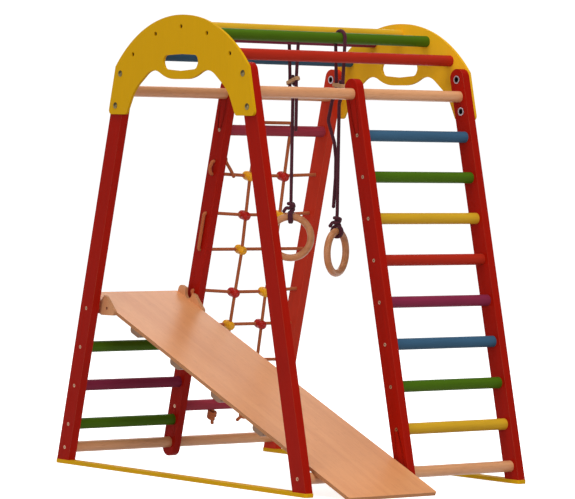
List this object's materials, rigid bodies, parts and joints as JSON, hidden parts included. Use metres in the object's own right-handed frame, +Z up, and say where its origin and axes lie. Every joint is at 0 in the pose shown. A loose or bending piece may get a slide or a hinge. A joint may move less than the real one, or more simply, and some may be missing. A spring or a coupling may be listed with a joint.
{
  "type": "toddler climbing frame with slide",
  "caption": "Wooden indoor climbing frame: two leaning end frames with arched panels, round bars, a ladder, a rope net, a hooked-on plywood slide and hanging rings.",
  "frame": {"origin": "on the floor, at the centre of the outline, which includes the slide that reaches out in front", "axes": "+X along the frame from the slide end to the ladder end, -Y to the front where the slide ends, +Z up"},
  "size_m": [0.822, 1.2812, 1.3],
  "materials": {
    "yellow_ply": "yellow painted birch plywood, satin",
    "yellow_paint": "yellow painted solid wood, satin",
    "red_paint": "red painted solid pine, satin",
    "red_bar": "red painted round bar, satin",
    "green_bar": "green painted round bar, satin",
    "yellow_bar": "yellow painted round bar, satin",
    "purple_bar": "purple painted round bar, satin",
    "blue_bar": "blue painted round bar, satin",
    "beech_bar": "clear lacquered beech, satin",
    "net_rope": "braided orange rope",
    "red_plastic": "red moulded plastic",
    "yellow_plastic": "yellow moulded plastic",
    "zinc_steel": "zinc plated steel",
    "slide_ply": "clear lacquered beech plywood",
    "beech_ply": "clear lacquered plywood, bare edges",
    "ring_cord": "braided dark purple cord",
    "toggle_wood": "sanded beech",
    "ring_wood": "clear lacquered beech ring"
  },
  "bodies": {
    "frame": {"left_arch_panel": "yellow_ply", "right_arch_panel": "yellow_ply", "left_front_leg": "red_paint", "left_back_leg": "red_paint", "right_front_leg": "red_paint", "right_back_leg": "red_paint", "left_floor_rail": "yellow_paint", "right_floor_rail": "yellow_paint", "front_middle_post": "red_paint", "back_middle_post": "red_paint", "top_bar_1": "red_bar", "top_bar_2": "green_bar", "top_bar_3": "yellow_bar", "top_bar_4": "purple_bar", "top_bar_5": "blue_bar", "front_low_bar": "beech_bar", "front_high_bar": "beech_bar", "back_low_bar": "beech_bar", "back_high_bar": "beech_bar", "ladder_rung_1": "yellow_bar", "ladder_rung_2": "green_bar", "ladder_rung_3": "blue_bar", "ladder_rung_4": "purple_bar", "ladder_rung_5": "red_bar", "ladder_rung_6": "yellow_bar", "ladder_rung_7": "green_bar", "ladder_rung_8": "blue_bar", "back_rung_1": "green_bar", "back_rung_2": "purple_bar", "back_rung_3": "green_bar", "slide_rung": "red_bar", "net_low_bar": "purple_bar", "net_high_bar": "purple_bar", "net_upright_rope": "net_rope", "net_row_rope": "net_rope", "net_red_connectors": "red_plastic", "net_yellow_connectors": "yellow_plastic", "arch_bolts": "zinc_steel", "arch_nuts": "zinc_steel", "top_bar_screws": "zinc_steel", "leg_screws": "zinc_steel", "post_screws": "zinc_steel", "rail_screws": "zinc_steel"},
    "slide": {"slide_board": "slide_ply", "slide_left_hook": "beech_ply", "slide_right_hook": "beech_ply", "slide_battens": "beech_ply", "hook_screws": "zinc_steel", "batten_screws": "zinc_steel"},
    "left_rope": {"left_ring_rope": "ring_cord", "left_rope_toggle": "toggle_wood"},
    "left_ring": {"left_ring": "ring_wood", "left_ring_knot": "ring_cord"},
    "right_rope": {"right_ring_rope": "ring_cord", "right_rope_toggle": "toggle_wood"},
    "right_ring": {"right_ring": "ring_wood", "right_ring_knot": "ring_cord"}
  },
  "joints": [
    {"name": "slide_lift", "type": "hinge", "parent": "frame", "child": "slide", "pos_m": [0, 0.50266, 0.4583], "axis": [-1, 0, 0], "range_deg": [0, 58]},
    {"name": "left_rope_swing", "type": "hinge", "parent": "frame", "child": "left_rope", "pos_m": [0.095, 0.17881, 1.24732], "axis": [1, 0, 0], "range_deg": [-15, 12]},
    {"name": "left_ring_turn", "type": "hinge", "parent": "left_rope", "child": "left_ring", "pos_m": [0.095, 0.17881, 0.672], "axis": [0, 0, 1], "range_deg": [-90, 90]},
    {"name": "right_rope_swing", "type": "hinge", "parent": "frame", "child": "right_rope", "pos_m": [0.074, -0.05765, 1.24732], "axis": [1, 0, 0], "range_deg": [-15, 14]},
    {"name": "right_ring_turn", "type": "hinge", "parent": "right_rope", "child": "right_ring", "pos_m": [0.074, -0.05765, 0.637], "axis": [0, 0, 1], "range_deg": [-90, 90]}
  ]
}
